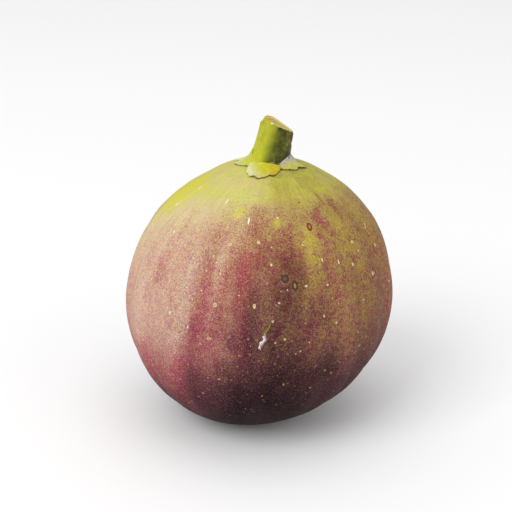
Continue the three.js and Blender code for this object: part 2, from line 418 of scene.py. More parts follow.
# %% Pale crests, olive streaks and yellow-green patches
CLEARINGS = [
    # azimuth, half width, polar, half length, drift, less cover, less depth, pale, green
    (-38, 4.5, 100, 16, -0.12, 0.08, 0.08, 0.2, 0), (-34, 3, 74, 18, -0.05, 0.16, 0, 0.6, 0),
    (-20.5, 3, 58, 10, 0, 0.2, 0.02, 0.4, 0), (-20.5, 3, 74, 8, 0, 0.06, 0.02, 0.2, 0),
    (-13, 3, 97, 6, 0, 0.12, 0, 0, 0.4), (-19.5, 3.6, 35, 2.8, 0, 0.24, 0, 0, 0.75),
    (7, 3.2, 39, 2.8, 0, 0.24, 0, 0, 0.75), (1.5, 2.4, 60, 20, 0, 0.04, -0.04, 0, 0.2),
    (22.5, 2.8, 57, 12, -0.06, 0.24, 0.06, 0, 0.62), (17, 3, 49, 6, -0.1, 0.16, 0.02, 0, 0.5),
    (27, 2, 62, 9, 0.05, 0.14, 0, 0, 0.5), (18.8, 2, 73, 7, -0.12, 0.24, 0, 0, 0.7),
    (29, 4.5, 51, 7, 0, 0.12, 0.04, 0, 0.6), (24, 4, 45, 5, 0, 0.12, 0.04, 0, 0.6),
    (47, 7, 50, 12, 0.1, 0.14, 0, 0, 0.5), (48, 4, 84, 8, 0, 0.14, 0, 0, 0.2),
    (-88, 15, 35, 13, 0, 0.24, 0, -0.3, 0.95), (-70, 5, 31, 8, 0, 0.1, 0, 0, 0.4),
    (-84, 14, 54, 20, 0, 0.24, 0, 0.2, 0.25), (-55, 14, 30, 6, 0, 0.1, 0, -0.2, 0.1),
    (-68, 24, 46, 9, 0, 0.06, 0, 0, 0.22), (9.6, 3, 62, 3.2, 0, 0.45, 0.05, 0, 0.3),
    (14.6, 3, 65.5, 4.2, -0.1, 0.45, 0.05, 0, 0.35), (-61, 3.5, 90, 16, 0, 0.16, 0.02, 0.2, 0),
    (60, 4, 30, 8, 0, 0.1, 0, 0, 0.3), (72, 6, 45, 12, 0, 0.1, 0.02, 0, 0.1),
    (96, 6, 64, 16, 0, 0.2, 0, 0, 0.5), (146, 6, 52, 14, 0, 0.25, 0, 0.1, 0.5),
    (-178, 8, 62, 18, 0, 0.3, 0.06, 0.3, 0.3), (-128, 7, 70, 22, 0, 0.22, 0.08, 0.4, 0.1),
    (134, 4, 84, 16, 0, 0.2, 0.06, 0.2, 0.2),
]
for place, half_width, level, half_length, drift, less_cover, less_depth, paler, greener in CLEARINGS:
    shape = stroke(place, half_width, level, half_length, drift)
    coverage -= less_cover * shape
    depth -= less_depth * shape
    wash += paler * shape
    greening += greener * shape

note_on(skin, "globe", [np.sin(np.radians(azimuth)), -np.cos(np.radians(azimuth)), polar / 180])
note_on(skin, "ripeness", [coverage, np.clip(depth, 0, 1), np.clip(olive, 0, 1)])
note_on(skin, "tint", [np.clip(crimson, 0, 1), np.clip(wash, 0, 1), np.clip(greening, 0, 1)])
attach(skin, "root")
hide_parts("fruit_body")
print("coverage from", round(coverage.min(), 2), "to", round(coverage.max(), 2))

# %% [markdown]
# ## Shader maths as Python
#
# A material is a graph of small nodes. Written out link by link it is hard to read, so a wrapped
# socket gets the usual operators, and an expression such as `1 - mask * 0.5` adds its Math nodes.


# %% The Sum and Shader classes
class Sum:
    """A number that varies over the surface: a socket with arithmetic on it."""

    def __init__(self, shader, socket):
        self.shader = shader
        self.socket = socket

    def _math(self, operation, left, right):
        return self.shader.node("ShaderNodeMath", {"operation": operation}, {0: left, 1: right})

    def __add__(self, other):
        return self._math("ADD", self, other)

    __radd__ = __add__

    def __mul__(self, other):
        return self._math("MULTIPLY", self, other)

    __rmul__ = __mul__

    def __sub__(self, other):
        return self._math("SUBTRACT", self, other)

    def __rsub__(self, other):
        return self._math("SUBTRACT", other, self)

    def above(self, start, end):
        """0 below start, 1 above end, and a soft slope between them."""
        settings = {"interpolation_type": "SMOOTHSTEP"}
        inputs = {"Value": self, "From Min": start, "From Max": end}
        return self.shader.node("ShaderNodeMapRange", settings, inputs)

    def below(self, start, end):
        return 1 - self.above(start, end)


class Shader:
    """One material and the nodes in it."""

    def __init__(self, name):
        self.material = bpy.data.materials.new(name)
        self.material.use_nodes = True
        self.tree = self.material.node_tree
        self.tree.nodes.clear()

    def node(self, kind, settings=None, inputs=None, output=0):
        made = self.tree.nodes.new(kind)
        for name, value in (settings or {}).items():
            if name == "stops":
                self.set_stops(made.color_ramp, value)
            else:
                setattr(made, name, value)
        for name, value in (inputs or {}).items():
            if isinstance(value, Sum):
                self.tree.links.new(value.socket, made.inputs[name])
            else:
                made.inputs[name].default_value = value
        return Sum(self, made.outputs[output]) if made.outputs else None

    def set_stops(self, ramp, stops):
        while len(ramp.elements) < len(stops):
            ramp.elements.new(0.5)
        for element, (place, tone) in zip(ramp.elements, stops):
            element.position = place
            element.color = tone

    def place(self):
        return self.node("ShaderNodeTexCoord", output="Object")

    def noted(self, name):
        return self.node("ShaderNodeAttribute", {"attribute_name": name}, output="Vector")

    def parts(self, vector):
        split = self.node("ShaderNodeSeparateXYZ", inputs={"Vector": vector})
        return [Sum(self, socket) for socket in split.socket.node.outputs]

    def stretched(self, vector, scale):
        return self.node("ShaderNodeVectorMath", {"operation": "MULTIPLY"}, {0: vector, 1: scale})

    def shifted(self, vector, step):
        return self.node("ShaderNodeVectorMath", {"operation": "ADD"}, {0: vector, 1: step})

    def turned(self, vector, angles):
        settings = {"rotation_type": "EULER_XYZ"}
        return self.node("ShaderNodeVectorRotate", settings, {"Vector": vector, "Rotation": angles})

    def scaled(self, vector, amount):
        return self.node("ShaderNodeVectorMath", {"operation": "SCALE"}, {0: vector, "Scale": amount})

    def noise(self, vector, scale, detail=2.0, roughness=0.5, distortion=0.0):
        inputs = {"Vector": vector, "Scale": scale, "Detail": detail,
                  "Roughness": roughness, "Distortion": distortion}
        return self.node("ShaderNodeTexNoise", {}, inputs)

    def cells(self, vector, scale):
        return self.node("ShaderNodeTexVoronoi", {}, {"Vector": vector, "Scale": scale}, "Distance")

    def mix(self, amount, first, second):
        settings = {"data_type": "RGBA", "clamp_factor": True}
        return self.node("ShaderNodeMix", settings, {0: amount, 6: first, 7: second}, output=2)

    def layers(self, body, *coats):
        """Lays each coat, an amount and a colour, over what lies below it."""
        for amount, coat in coats:
            body = self.mix(amount, body, coat)
        return body

    def ramp(self, value, *stops):
        return self.node("ShaderNodeValToRGB", {"stops": stops}, {"Fac": value})

    def bump(self, height, strength, distance):
        inputs = {"Height": height, "Strength": strength, "Distance": distance}
        return self.node("ShaderNodeBump", {}, inputs)

    def finish(self, **inputs):
        named = {name.replace("_", " "): value for name, value in inputs.items()}
        surface = self.node("ShaderNodeBsdfPrincipled", {}, named)
        self.node("ShaderNodeOutputMaterial", {}, {"Surface": surface})
        return self.material


def colour(red, green, blue):
    """A colour as a screen shows it, 0 to 255, turned into the light values a shader uses."""
    def light(part):
        share = part / 255
        return share / 12.92 if share <= 0.04045 else ((share + 0.055) / 1.055) ** 2.4
    return (light(red), light(green), light(blue), 1.0)


def dress(piece, material):
    piece.data.materials.clear()
    piece.data.materials.append(material)
    print(piece.name, "wears", material.name, "made of", len(material.node_tree.nodes), "nodes")


# %% [markdown]
# ## The skin
#
# The skin reads its painted amounts and breaks them up. Long streaks follow the meridians, because
# the globe directions are stretched before they reach the noise, and blotches, motes and fine
# flecks come on top. The noises read the object's coordinates turned by a fixed angle, so that the
# grid inside a noise never lines up with an upright skin. The colour is built as a painter would:
# a ground, a pigment that covers it in flecks, yellow and pink tinges, then single light and dark
# flecks. Tiny pale breathing spots are the middles of scattered cells.

# %% Patterns that break the skin up
def skin_patterns(shader, place, globe):
    """Noises from long streaks down to single flecks. Each one averages about a half."""
    hue_place = shader.shifted(place, (0.2, 0.6, 0.1))
    cluster_place = shader.shifted(place, (0.9, 0.1, 0.4))
    glint_place = shader.shifted(place, (0.7, 0.3, 0.5))
    return SimpleNamespace(
        streaks=shader.noise(shader.stretched(globe, (9.0, 9.0, 5.0)), 1.6, 4.0, 0.6, 0.25),
        threads=shader.noise(shader.stretched(globe, (30.0, 30.0, 9.0)), 1.5, 3.0, 0.6, 0.2),
        blotches=shader.noise(place, 520.0, 3.0, 0.6),
        motes=shader.noise(place, 1500.0, 2.0, 0.6, 0.5),
        flecks=shader.noise(place, 4000.0, 2.0, 0.7, 0.2),
        hues=shader.noise(hue_place, 300.0, 4.0, 0.65, 0.6),
        clusters=shader.noise(cluster_place, 800.0, 3.0, 0.6, 0.8),
        glints=shader.noise(glint_place, 4600.0, 1.0, 0.6),
    )

# %% The ground, yellow-green at the stalk and tan lower down
def skin_ground(shader, at, grain):
    """The colour under the pigment. `at` holds the painted amounts and `grain` the patterns."""
    # Darker towards the eye: partly the ground's own colour, partly painted shade under the fruit.
    ground = shader.ramp(
        at.down,
        (0.00, colour(190, 190, 66)),
        (0.07, colour(198, 194, 104)),
        (0.18, colour(196, 188, 110)),
        (0.26, colour(196, 178, 98)),
        (0.40, colour(192, 154, 92)),
        (0.60, colour(166, 124, 76)),
        (0.85, colour(90, 58, 44)),
    )
    rays = at.down.below(0.16, 0.30)
    leaf_green = at.green + (grain.flecks - 0.5) * 1.4 + (grain.clusters - 0.5) * 1.8
    leaf_green = (leaf_green + (grain.streaks - 0.5)).above(0.1, 1.0)
    return shader.layers(
        ground,
        (at.olive, colour(182, 166, 64)),
        (at.wash * 0.85, colour(222, 208, 184)),
        # Painted shade: a darker olive right of the crown, where the stalk and the right bract shade the
        # skin.
        (at.olive * at.down.below(0.07, 0.17) * 0.7, colour(150, 150, 48)),
        (rays * grain.hues.above(0.48, 0.62) * 0.5, colour(198, 202, 74)),
        (rays * grain.hues.below(0.38, 0.50) * 0.4, colour(204, 180, 122)),
        (rays * grain.threads.above(0.45, 0.75) * 0.25, colour(218, 218, 136)),
        (rays * grain.streaks.above(0.45, 0.65) * 0.4, colour(212, 210, 120)),
        (rays * grain.motes.below(0.30, 0.46) * 0.3, colour(176, 164, 84)),
        (leaf_green * 0.8, colour(208, 203, 46)),
        (at.wash * grain.threads.above(0.50, 0.66) * 0.5, colour(222, 210, 130)),
        (at.wash * grain.threads.below(0.34, 0.48) * 0.4, colour(206, 166, 152)),
        # Where the depth is high, mostly towards the eye, the ground darkens: partly dark skin, partly
        # painted shade.
        (at.deep.above(0.35, 1.0) * 0.75, colour(88, 50, 54)),
    )

# %% The pigment, crimson in the folds and brick-red near the stalk
def skin_pigment(shader, at, grain):
    pigment = shader.ramp(
        at.deep + (grain.blotches - 0.5) * 0.25 + (grain.streaks - 0.5) * 0.2,
        (0.00, colour(186, 124, 130)),
        (0.25, colour(158, 92, 100)),
        (0.50, colour(110, 58, 68)),
        (0.75, colour(60, 26, 40)),
        (1.00, colour(14, 2, 8)),
    )
    crimson_tone = shader.ramp(
        at.deep,
        (0.00, colour(182, 88, 114)),
        (0.30, colour(152, 58, 84)),
        (0.60, colour(96, 36, 56)),
        (1.00, colour(30, 12, 20)),
    )
    crimson_tone = shader.mix(at.down.below(0.28, 0.46) * 0.6, crimson_tone, colour(160, 70, 62))
    brown = shader.mix(at.deep, colour(146, 98, 66), colour(28, 16, 16))
    brick = shader.mix(at.deep, colour(180, 108, 84), colour(64, 26, 16))
    redness = at.red * (0.45 + grain.clusters) + grain.hues.above(0.46, 0.64) * (0.30 + at.olive * 0.25)
    return shader.layers(
        pigment,
        (at.wash * at.deep.below(0.0, 0.3) * 0.4, colour(204, 152, 152)),
        (at.olive * 0.35, brown),
        (at.down.below(0.28, 0.50) * 0.5, brick),
        (redness, crimson_tone),
    )

# %% Tinges and single flecks
def skin_flecks(shader, at, grain, body):
    yellow_tinge = shader.ramp(
        at.deep,
        (0.0, colour(212, 186, 136)),
        (0.4, colour(162, 142, 52)),
        (0.8, colour(90, 62, 48)),
    )
    pink_tinge = shader.ramp(
        at.deep,
        (0.0, colour(196, 110, 130)),
        (0.4, colour(138, 56, 70)),
        (0.8, colour(62, 30, 42)),
    )
    light_fleck = shader.mix(at.deep, colour(222, 186, 142), colour(98, 62, 68))
    dark_fleck = shader.mix(at.deep, colour(140, 54, 66), colour(16, 6, 10))
    speckled = at.cover.above(0.1, 0.5)
    tinge = grain.clusters * 0.5 + grain.motes * 0.5
    tinged = speckled * (0.42 + at.olive * 0.45 - at.deep * 0.35)
    glinting = speckled * (0.42 + at.olive * 0.08)
    return shader.layers(
        body,
        (tinged * tinge.above(0.50, 0.60), yellow_tinge),
        (tinged * tinge.below(0.40, 0.50), pink_tinge),
        (glinting * grain.glints.above(0.52, 0.66), light_fleck),
        (glinting * grain.glints.below(0.34, 0.48), dark_fleck),
    )

# %% Skin material
def skin_material():
    shader = Shader("ripe_skin")
    place = shader.turned(shader.place(), (0.55, 0.7, 0.4))
    globe = shader.noted("globe")
    at = SimpleNamespace(down=shader.parts(globe)[2])
    at.cover, at.deep, at.olive = shader.parts(shader.noted("ripeness"))
    at.red, at.wash, at.green = shader.parts(shader.noted("tint"))
    grain = skin_patterns(shader, place, globe)

    spread = at.cover + (grain.streaks - 0.5) * 0.45 + (grain.threads - 0.5) * 0.30
    spread = spread + (grain.blotches - 0.5) * 0.42 + (grain.motes - 0.5) * 0.6
    spread = spread + (grain.flecks - 0.5) * (3.0 - at.deep * 1.5)
    ground = skin_ground(shader, at, grain)
    body = shader.mix(spread.above(-0.05, 1.05), ground, skin_pigment(shader, at, grain))
    body = skin_flecks(shader, at, grain, body)

    cells = shader.cells(shader.stretched(place, (1.0, 1.0, 0.8)), 760.0)
    chance = shader.noise(place, 900.0, 0.0)
    pale_spots = cells.below(0.10, 0.22) * chance.above(0.46, 0.54)
    pale = shader.mix(at.deep, colour(222, 200, 150), colour(120, 88, 56))
    body = shader.mix(pale_spots * 0.5, body, pale)
    # The threads and flecks vary the tone at random; the factor on the olive side is painted shade on the
    # right.
    tone = (0.71 + grain.threads * 0.20 + grain.flecks * 0.34) * (1 - at.olive * 0.09)
    height = grain.motes * 0.5 + grain.flecks * 0.3 + grain.threads * 0.4 + pale_spots * 0.5
    return shader.finish(
        Base_Color=shader.scaled(body, tone),
        Roughness=0.58 + (grain.flecks - 0.5) * 0.1,
        Normal=shader.bump(height, 0.3, 0.0002),
        Specular_IOR_Level=0.09,
        IOR=1.4,
    )

dress(skin, skin_material())

# %% [markdown]
# ## The stalk
#
# The stalk is a short thick stem that flares into the fruit and was cut with one slanting stroke.
# It grows here ring by ring: a filled circle at the foot is extruded upwards, each ring a little
# narrower and shifted along the lean. A bisect then cuts it exactly as the knife did.

# %% Extrude the stalk ring by ring
stalk_low, stalk_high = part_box("stalk")
stalk_points = points_of(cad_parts["stalk"])
foot_points = stalk_points[stalk_points[:, 2] < stalk_low.z + 0.2 * MM]
foot_middle = Vector(foot_points.mean(axis=0))
FOOT_RADIUS = float(np.ptp(foot_points[:, 0])) / 2
SHAFT_RADIUS = 3.2 * MM
TOP_RADIUS = 2.95 * MM
STALK_SIDES = 48
STALK_LEAN = 0.2


def leave_edit():
    bpy.ops.object.mode_set(mode="OBJECT")

def stalk_radius(rise):
    """Radius at a height above the foot: a hollow flare first, then a slow taper."""
    flare = (FOOT_RADIUS - SHAFT_RADIUS) * math.exp(-rise / (1.25 * MM))
    return SHAFT_RADIUS + (TOP_RADIUS - SHAFT_RADIUS) * rise / (9 * MM) + flare


rises = [0.0, 0.35, 0.8, 1.4, 2.2, 3.2, 4.3, 5.4, 6.5, 7.6, 8.7, 9.8, 10.9]
bpy.ops.mesh.primitive_circle_add(vertices=STALK_SIDES, radius=FOOT_RADIUS, fill_type="NGON",
                                  location=(foot_middle.x, foot_middle.y, stalk_low.z))
stalk = bpy.context.object
stalk.name = "fig_stalk"
take(stalk)
bpy.ops.object.transform_apply(location=True, rotation=True, scale=True)
bpy.ops.object.mode_set(mode="EDIT")
bpy.ops.mesh.select_all(action="SELECT")
for lower, upper in zip(rises[:-1], rises[1:]):
    step = (upper - lower) * MM
    bpy.ops.mesh.extrude_region_move(TRANSFORM_OT_translate={"value": (STALK_LEAN * step, 0, step)})
    ratio = stalk_radius(upper * MM) / stalk_radius(lower * MM)
    middle = (foot_middle.x + STALK_LEAN * upper * MM, foot_middle.y, stalk_low.z + upper * MM)
    bpy.ops.transform.resize(value=(ratio, ratio, 1), center_override=middle)
leave_edit()
print("stalk grown to", round(points_of(stalk)[:, 2].max() / MM, 1), "mm")

# %% [markdown]
# The knife left a flat slanting face. A real cut end shows three rings: the thin green bark, a
# darker ring of fibres that shrinks back a little, and the pale pith. Insets draw the three rings
# on the cut, and small moves along the cut's normal give each its level.

# %% Cut the stalk and shape its end
CUT_SLOPE_RIGHT = 0.55
CUT_SLOPE_BACK = 0.13
CUT_DROP = 1.1 * MM
cut_normal = Vector((CUT_SLOPE_RIGHT, CUT_SLOPE_BACK, 1)).normalized()
top_points = stalk_points[stalk_points[:, 2] > stalk_high.z - 3.2 * MM]
cut_x = float(top_points[:, 0].min() + top_points[:, 0].max()) / 2
cut_middle = Vector((cut_x, foot_middle.y, stalk_high.z - CUT_DROP))
take(stalk)
bpy.ops.object.mode_set(mode="EDIT")
bpy.ops.mesh.select_all(action="SELECT")
bpy.ops.mesh.bisect(plane_co=cut_middle, plane_no=cut_normal, use_fill=True, clear_outer=True)
leave_edit()


def pick_faces(piece, wanted):
    take(piece)
    bpy.ops.object.mode_set(mode="EDIT")
    bpy.ops.mesh.select_mode(type="FACE")
    bpy.ops.mesh.select_all(action="DESELECT")
    mesh = bmesh.from_edit_mesh(piece.data)
    for face in mesh.faces:
        face.select = wanted(face)
    mesh.select_flush(True)
    bmesh.update_edit_mesh(piece.data)

def is_cut_face(face):
    return face.normal.dot(cut_normal) > 0.99 and (face.calc_center_median() - cut_middle).length < 2 * MM


for thickness, level in [(0.12, 0.06), (0.28, -0.05), (0.22, -0.10), (0.42, -0.02), (0.7, 0.06)]:
    pick_faces(stalk, is_cut_face)
    bpy.ops.mesh.inset(thickness=thickness * MM, depth=level * MM)
    leave_edit()
subdivided(stalk, 2)
print("stalk has", len(stalk.data.polygons), "faces")

# %% [markdown]
# Fine ridges run up the bark. One side is smooth and fresh, the other is wrinkled and dry, and
# the material darkens it with painted shade.
# The knife missed the left shoulder of the stem, so the rim slopes down there under its own green
# bark, and the foot spreads wider on that side where it runs into the collar.

# %% Ridges and wrinkles in the bark
STALK_RISE = 8.4 * MM
points = points_of(stalk)
rise = points[:, 2] - stalk_low.z
middle_x = foot_middle.x + STALK_LEAN * rise
turn = np.degrees(np.arctan2(points[:, 0] - middle_x, -points[:, 1] + foot_middle.y))
span = np.hypot(points[:, 0] - middle_x, points[:, 1] - foot_middle.y)
under_cut = (points - np.array(cut_middle)) @ np.array(cut_normal)
on_bark = soft_step(span, 2.2 * MM, 2.7 * MM) * (1 - soft_step(under_cut, -0.5 * MM, -0.05 * MM))
rise_share = rise / STALK_RISE
# The dry side carries wrinkles here and painted shade in the material; its edge turns with height.
dry_and_shaded_edge = -24 + 30 * rise_share
dry_and_shaded_side = soft_step(turn, dry_and_shaded_edge - 30, dry_and_shaded_edge + 34) * (1 - soft_step(turn, 130, 170))
ripple = np.zeros(len(points))
for waves_round, phase, height in [(3, 1.1, 0.10), (7, 0.4, 0.04), (11, 0.8, 0.04), (17, 2.0, 0.03)]:
    ripple += height * np.cos(waves_round * np.radians(turn) + phase)
for index, point in enumerate(points):
    fine = noise.noise(Vector((point[0], point[1], point[2] * 0.6)) / (0.8 * MM))
    broad = noise.noise(Vector(point) / (2.2 * MM))
    ripple[index] += 0.10 * broad + dry_and_shaded_side[index] * (0.22 * fine - 0.05)
ripple += 0.55 * np.exp(-((turn + 100) / 45) ** 2) * np.exp(-rise / (1.1 * MM))
grow = 1 + ripple * on_bark * MM / np.maximum(span, 1 * MM)
points[:, 0] = middle_x + (points[:, 0] - middle_x) * grow
points[:, 1] = foot_middle.y + (points[:, 1] - foot_middle.y) * grow
print("ripples in the bark reach", round(float(np.abs(ripple * on_bark).max()), 2), "mm")

# %% Let the left shoulder slope
SHOULDER_DROP = 1.25 * MM
LIP_RISE = 0.35 * MM
near_rim = soft_step(under_cut, -1.4 * MM, -0.02 * MM)
shoulder = np.exp(-np.abs(turn_between(turn, -78) / 46) ** 3) * soft_step(span, 1.0 * MM, 2.8 * MM)
points[:, 2] -= SHOULDER_DROP * shoulder * near_rim
far_lip = np.exp(-(turn_between(turn, -165) / 40) ** 2) * soft_step(span, 1.8 * MM, 2.9 * MM)
points[:, 2] += LIP_RISE * far_lip * near_rim
set_points(stalk, points)
smooth(stalk)
end_share = soft_step(under_cut, -0.30 * MM, -0.16 * MM) * (span < TOP_RADIUS)
end_share *= 1 - soft_step(shoulder, 0.12, 0.4)
note_on(stalk, "stem", [np.sin(np.radians(turn)), -np.cos(np.radians(turn)), rise_share])
note_on(stalk, "cut", [end_share, span / (3 * MM), dry_and_shaded_side])
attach(stalk, "root")
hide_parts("stalk")
print("the dry side covers", round(float((dry_and_shaded_side > 0.5).mean()) * 100), "% of the stalk's points")


# %% Stalk material
def stalk_material():
    shader = Shader("cut_stalk")
    place = shader.place()
    side_x, side_y, rise_share = shader.parts(shader.noted("stem"))
    end, ring, dry_and_shaded = shader.parts(shader.noted("cut"))
    fibres = shader.noise(shader.stretched(shader.noted("stem"), (14.0, 14.0, 3.0)), 1.5, 4.0, 0.6)
    patches = shader.noise(place, 760.0, 3.0, 0.6)
    grain = shader.noise(place, 3200.0, 2.0, 0.6)

    bark = shader.mix(fibres, colour(150, 156, 24), colour(196, 196, 52))
    bark = shader.layers(
        bark,
        (rise_share.below(0.1, 0.5) * 0.6, colour(194, 198, 30)),
        (patches.above(0.48, 0.62) * 0.45, colour(208, 194, 62)),
        (patches.below(0.36, 0.46) * 0.35, colour(120, 134, 30)),
        # Painted shade: the bark from the front round to the right is a darker green.
        (side_x.above(-0.65, -0.1) * 0.6, colour(122, 130, 18)),
    )
    # Painted shade: on the dry side the bark turns a mottled dark olive.
    dark = shader.ramp(
        patches + (grain - 0.5) * 0.2,
        (0.30, colour(30, 30, 14)),
        (0.46, colour(64, 66, 24)),
        (0.60, colour(98, 100, 34)),
        (0.74, colour(132, 126, 56)),
    )
    shade = (dry_and_shaded + (patches - 0.5) * 0.7).above(0.0, 1.0)
    bark = shader.mix(shade * 0.95, bark, dark)
    notch = side_x.above(-0.05, 0.1) * side_x.below(0.2, 0.4) * side_y.below(-0.8, -0.5)
    bark = shader.mix(notch * rise_share.above(0.74, 0.86) * 0.8, bark, colour(26, 24, 10))
    # At the foot of the shaded side the darkest patches are partly dark spots, partly painted shade where
    # the stalk meets the fruit.
    foot = rise_share.below(0.04, 0.24) * shade
    bark = shader.layers(
        bark,
        (foot * patches.below(0.42, 0.5), colour(20, 14, 20)),
        (foot * patches.above(0.52, 0.58), colour(150, 140, 138)),
        (side_x.above(0.80, 0.97) * patches.above(0.44, 0.6) * 0.7, colour(112, 62, 42)),
    )

    pith = shader.ramp(
        ring + (grain - 0.5) * 0.10,
        (0.00, colour(190, 186, 84)),
        (0.45, colour(184, 180, 70)),
        (0.62, colour(214, 196, 122)),
        (0.72, colour(158, 110, 50)),
        (0.80, colour(222, 200, 136)),
        (0.94, colour(206, 180, 112)),
    )
    browned = side_x.below(-0.7, 0.0) * patches.above(0.3, 0.6)
    pith = shader.layers(
        pith,
        (browned * 0.7, colour(186, 132, 46)),
        (side_y.below(-0.5, 0.5) * ring.below(0.8, 0.98) * 0.8, colour(180, 182, 66)),
    )
    body = shader.mix(end, bark, pith)
    height = fibres * 0.4 + patches * dry_and_shaded * 1.0 + grain * 0.2
    normal = shader.bump(height, 0.5, 0.0003)
    return shader.finish(Base_Color=body, Roughness=0.55 + grain * 0.15, Normal=normal,
                         Specular_IOR_Level=0.2)


dress(stalk, stalk_material())

# %% [markdown]
# Fresh fig stems bleed a white milk. Two dried drops of it sit on the near rim of the cut.

# %% Two drops of dried milk
def joined(pieces, name):
    take(*pieces)
    bpy.ops.object.join()
    whole = bpy.context.object
    whole.name = name
    return whole

stalk_tree = BVHTree.FromObject(stalk, bpy.context.evaluated_depsgraph_get())
drops = []
for drop_turn, drop_reach, drop_size in [(-52, 2.0, 0.15), (-16, 2.6, 0.17)]:
    angle = math.radians(drop_turn)
    x = cut_middle.x + drop_reach * MM * math.sin(angle)
    y = cut_middle.y - drop_reach * MM * math.cos(angle)
    rim_place = stalk_tree.ray_cast(Vector((x, y, 1)), Vector((0, 0, -1)))[0]
    bpy.ops.mesh.primitive_uv_sphere_add(segments=20, ring_count=12, radius=drop_size * MM,
                                         location=rim_place)
    drops.append(bpy.context.object)
    bpy.ops.object.transform_apply(location=True, rotation=True, scale=True)
milk = joined(drops, "fig_milk_drops")
smooth(milk)
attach(milk, "root")
milk_shader = Shader("dried_milk")
dress(milk, milk_shader.finish(Base_Color=colour(240, 240, 236), Roughness=0.4))

# %% [markdown]
# ## The bracts
#
# Three small leaf-like scales clasp the foot of the stalk. Each is fleshy at its root, thins to a
# papery margin, and ends in a dry, finely scalloped edge. A flat grid is bent to that shape point
# by point, because no single operator gives a ragged lobe that lies on a round shoulder, and
# Solidify then gives it its small thickness.

# %% A bract as a bent grid
skin_tree = BVHTree.FromObject(skin, bpy.context.evaluated_depsgraph_get())
crown_middle = Vector((float(axis_x(body_high.z)), 0, body_high.z))


def skin_height(x, y):
    hit = skin_tree.ray_cast(Vector((x, y, 1.0)), Vector((0, 0, -1)))
    return hit[0].z


def make_bract(name, node, azimuth, half_spread, reach, root_rise, seed, lobes):
    bpy.ops.mesh.primitive_grid_add(x_subdivisions=48, y_subdivisions=20, size=2)
    bract = bpy.context.object
    bract.name = name
    scatter = random.Random(seed)
    waves = [(scatter.uniform(0, 6.3), scatter.uniform(0.6, 1.2)) for _ in range(4)]
    points = points_of(bract)
    notes = []
    for point in points:
        side = -point[0]
        out = (point[1] + 1) / 2
        shift = sum(size * math.sin((k + 2) * 1.7 * side + phase) for k, (phase, size) in enumerate(waves))
        scallop = 0.03 * shift + 0.05 * abs(math.sin(lobes * math.pi * (side + 0.2) / 2))
        narrowing = math.sqrt(1 - 0.60 * out ** 2.2)
        angle = math.radians(azimuth + half_spread * side * narrowing)
        edge = 1 - 0.30 * (side * narrowing) ** 2 + scallop
        root_height = root_rise * MM * (1 - 0.5 * side ** 2)
        root_reach = stalk_radius(root_height) - 0.05 * MM
        root_x = foot_middle.x + STALK_LEAN * root_height
        reach_here = reach * MM * edge
        flat_x = crown_middle.x + (root_x - crown_middle.x) * (1 - out)
        distance = root_reach + (reach_here - root_reach) * out
        x = flat_x + distance * math.sin(angle)
        y = foot_middle.y - distance * math.cos(angle)
        crinkle = 0.10 * noise.noise(Vector((side * 4, out * 3, seed))) * out
        lip = 0.10 * out ** 6 * (1 + math.sin(5 * side + seed))
        lift = 0.10 + root_rise * (1 - 0.5 * side ** 2) * (1 - out) ** 2.4 + crinkle + lip
        notes.append((side, out, edge))
        point[:] = (x, y, skin_height(x, y) + lift * MM)
    set_points(bract, points)
    note_on(bract, "leaf", list(zip(*notes)))
    finish_with(bract, "SOLIDIFY", thickness=0.14 * MM, offset=1.0)
    subdivided(bract, 1)
    smooth(bract)
    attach(bract, "root")
    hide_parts(node)
    return bract


bracts = {
    "front": make_bract("fig_bract_front", "bract_front", -17, 45, 6.6, 1.2, 3, 5),
    "right": make_bract("fig_bract_right", "bract_right", 74, 48, 5.8, 1.9, 8, 3),
    "left": make_bract("fig_bract_left", "bract_left", -102, 38, 5.8, 2.8, 5, 2),
}
print("bracts have", [len(bract.data.polygons) for bract in bracts.values()], "faces")


# %% Bract material
def bract_material(name, fleshy, papery, across, along, start, rim_start, greying, ochre):
    """The papery colour takes over from the fleshy one across the bract and along it."""
    shader = Shader(name)
    place = shader.place()
    side, out, edge = shader.parts(shader.noted("leaf"))
    veins = shader.noise(shader.stretched(shader.noted("leaf"), (9.0, 1.6, 0.0)), 1.5, 3.0, 0.6)
    patches = shader.noise(place, 1000.0, 3.0, 0.6)
    grain = shader.noise(place, 3600.0, 2.0, 0.6)

    dryness = (side * across + out * along + (veins - 0.5) * 0.4).above(start, start + 1.1)
    body = shader.mix(dryness, fleshy, papery)
    body = shader.layers(
        body,
        (veins.above(0.55, 0.75) * 0.3, colour(178, 168, 70)),
        (patches.above(0.46, 0.60) * dryness * greying, colour(118, 104, 108)),
        (patches.below(0.36, 0.5) * (1 - dryness) * 0.5, colour(206, 208, 90)),
        (side.above(-0.1, 0.8) * (1 - dryness) * ochre, colour(188, 152, 48)),
    )
    edge_line = (out + (patches - 0.5) * 0.08).above(0.95, 0.98)
    ochre_edge = out.above(0.72, 0.95) * (1 - dryness) * patches.above(0.45, 0.6)
    body = shader.mix(ochre_edge * 0.5, body, colour(196, 142, 40))
    rim = edge_line * (side * -across + patches * 0.4).above(rim_start, rim_start + 0.3)
    body = shader.mix(rim * 0.85, body, colour(84, 44, 66))
    normal = shader.bump(veins * 0.6 + grain * 0.3, 0.4, 0.0002)
    return shader.finish(Base_Color=body, Roughness=0.6, Normal=normal, Specular_IOR_Level=0.2)


